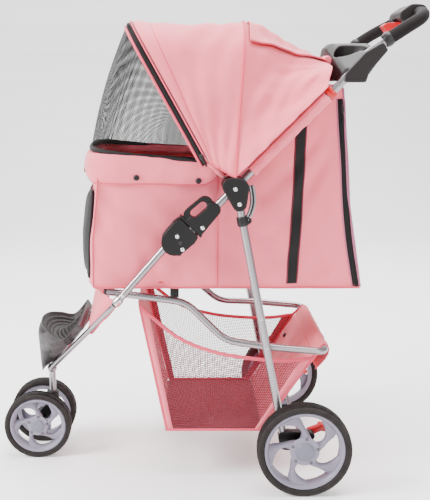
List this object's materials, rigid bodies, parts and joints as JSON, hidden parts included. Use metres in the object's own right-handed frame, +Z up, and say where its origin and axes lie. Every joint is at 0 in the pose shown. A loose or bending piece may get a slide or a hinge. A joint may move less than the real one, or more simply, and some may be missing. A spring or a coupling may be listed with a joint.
{
  "type": "pet stroller",
  "caption": "Folding pet stroller with a zipped fabric cabin, fan hood with mesh front, lower mesh basket, cup tray, foam grip, front caster and braked rear wheels.",
  "frame": {"origin": "on the ground, under the middle of the bounding box", "axes": "+Z up, -Y the front (caster end), +X the left-hand side of someone pushing it"},
  "size_m": [0.472, 0.8404, 0.919],
  "materials": {
    "steel": "satin silver-grey",
    "black_plastic": "fine satin black",
    "brown_plastic": "satin warm dark grey",
    "foam": "matt closed-cell foam",
    "red_plastic": "gloss red",
    "rim": "satin lavender grey",
    "tyre": "matt dark",
    "pink_cloth": "woven polyester",
    "pink_board": "padded woven polyester",
    "basket_mesh": "open mesh",
    "window_mesh": "fine open mesh"
  },
  "bodies": {
    "front_frame": {"front_tube_left": "steel", "front_tube_right": "steel", "v_tube_left": "steel", "v_tube_right": "steel", "front_stem": "steel", "footrest": "brown_plastic", "lock_housing_left": "black_plastic", "lock_housing_right": "black_plastic", "fold_pin_left": "steel", "fold_pin_right": "steel", "apron": "pink_cloth"},
    "seat_frame": {"seat_loop": "steel", "basket_floor": "basket_mesh", "basket_side_left": "basket_mesh", "basket_side_right": "basket_mesh", "basket_front": "pink_board", "basket_rear": "pink_board", "cabin_floor": "pink_board", "cabin_side_left": "pink_cloth", "cabin_side_right": "pink_cloth", "cabin_front": "pink_cloth", "cabin_rear": "pink_cloth"},
    "handle_frame": {"handle_tube_left": "steel", "handle_tube_right": "steel", "grip_bar": "steel", "foam_grip_left": "foam", "foam_grip_right": "foam", "grip_pod": "brown_plastic", "cup_tray": "brown_plastic", "tube_collar_left": "red_plastic", "tube_collar_right": "red_plastic", "leg_bracket_left": "black_plastic", "leg_bracket_right": "black_plastic", "hood_rear": "pink_cloth"},
    "hood_rib": {"hood_rib": "steel", "hood_front": "pink_cloth"},
    "hood_bow": {"hood_bow": "steel", "front_window": "window_mesh"},
    "lock_slider_left": {"lock_slider_left": "black_plastic"},
    "lock_slider_right": {"lock_slider_right": "black_plastic"},
    "trigger": {"trigger_button": "red_plastic"},
    "rear_leg_frame": {"rear_leg_left": "steel", "rear_leg_right": "steel", "leg_stay_left": "steel", "leg_stay_right": "steel", "rear_axle": "steel", "axle_bracket_left": "black_plastic", "axle_bracket_right": "black_plastic"},
    "rear_wheel_left": {"rear_tyre_left": "tyre", "rear_rim_left": "rim"},
    "rear_wheel_right": {"rear_tyre_right": "tyre", "rear_rim_right": "rim"},
    "brake_pedal_left": {"brake_pedal_left": "red_plastic"},
    "brake_pedal_right": {"brake_pedal_right": "red_plastic"},
    "caster": {"caster_fork": "black_plastic", "front_axle": "steel"},
    "front_wheel_left": {"front_tyre_left": "tyre", "front_rim_left": "rim"},
    "front_wheel_right": {"front_tyre_right": "tyre", "front_rim_right": "rim"}
  },
  "joints": [
    {"name": "handle_fold", "type": "hinge", "parent": "front_frame", "child": "handle_frame", "pos_m": [0, -0.05325, 0.4804], "axis": [1, 0, 0], "range_deg": [0, 130], "deforming": ["cabin_side_left", "cabin_side_right", "cabin_front", "cabin_rear", "hood_rear", "hood_front", "front_window", "apron"]},
    {"name": "rear_leg_fold", "type": "hinge", "parent": "handle_frame", "child": "rear_leg_frame", "pos_m": [0, 0.05425, 0.5557], "axis": [1, 0, 0], "range_deg": [-58, 0.5]},
    {"name": "seat_fold", "type": "hinge", "parent": "front_frame", "child": "seat_frame", "pos_m": [0, -0.16295, 0.3733], "axis": [1, 0, 0], "range_deg": [-0.5, 45]},
    {"name": "hood_fold", "type": "hinge", "parent": "handle_frame", "child": "hood_rib", "pos_m": [0, 0.04675, 0.583], "axis": [1, 0, 0], "range_deg": [-32, 0.5]},
    {"name": "canopy_fold", "type": "hinge", "parent": "hood_rib", "child": "hood_bow", "pos_m": [0, 0.04675, 0.583], "axis": [-1, 0, 0], "range_deg": [0, 32]},
    {"name": "trigger_pull", "type": "slide", "parent": "handle_frame", "child": "trigger", "axis": [0, 0.5, 0.866], "range_m": [0, 0.005], "stiffness_N_per_m": 400, "springref_m": -0.002},
    {"name": "caster_swivel", "type": "hinge", "parent": "front_frame", "child": "caster", "pos_m": [0, -0.32525, 0.1], "axis": [0, 0, 1], "continuous": true},
    {"name": "lock_slide_left", "type": "slide", "parent": "handle_frame", "child": "lock_slider_left", "axis": [0, 0.7059, 0.7083], "range_m": [0, 0.014]},
    {"name": "rear_wheel_spin_left", "type": "hinge", "parent": "rear_leg_frame", "child": "rear_wheel_left", "pos_m": [0.2195, 0.18075, 0.09], "axis": [1, 0, 0], "continuous": true},
    {"name": "brake_press_left", "type": "hinge", "parent": "rear_leg_frame", "child": "brake_pedal_left", "pos_m": [0.176, 0.19675, 0.108], "axis": [-1, 0, 0], "range_deg": [0, 25]},
    {"name": "front_wheel_spin_left", "type": "hinge", "parent": "caster", "child": "front_wheel_left", "pos_m": [0.042, -0.35125, 0.069], "axis": [1, 0, 0], "continuous": true},
    {"name": "lock_slide_right", "type": "slide", "parent": "handle_frame", "child": "lock_slider_right", "axis": [0, 0.7059, 0.7083], "range_m": [0, 0.014]},
    {"name": "rear_wheel_spin_right", "type": "hinge", "parent": "rear_leg_frame", "child": "rear_wheel_right", "pos_m": [-0.2195, 0.18075, 0.09], "axis": [1, 0, 0], "continuous": true},
    {"name": "brake_press_right", "type": "hinge", "parent": "rear_leg_frame", "child": "brake_pedal_right", "pos_m": [-0.176, 0.19675, 0.108], "axis": [-1, 0, 0], "range_deg": [0, 25]},
    {"name": "front_wheel_spin_right", "type": "hinge", "parent": "caster", "child": "front_wheel_right", "pos_m": [-0.042, -0.35125, 0.069], "axis": [1, 0, 0], "continuous": true}
  ],
  "couplings": [
    {"joint": "rear_leg_fold", "follows": "handle_fold", "ratio": -0.4323},
    {"joint": "seat_fold", "follows": "handle_fold", "ratio": 0.3292},
    {"joint": "hood_fold", "follows": "handle_fold", "ratio": -0.23}
  ]
}
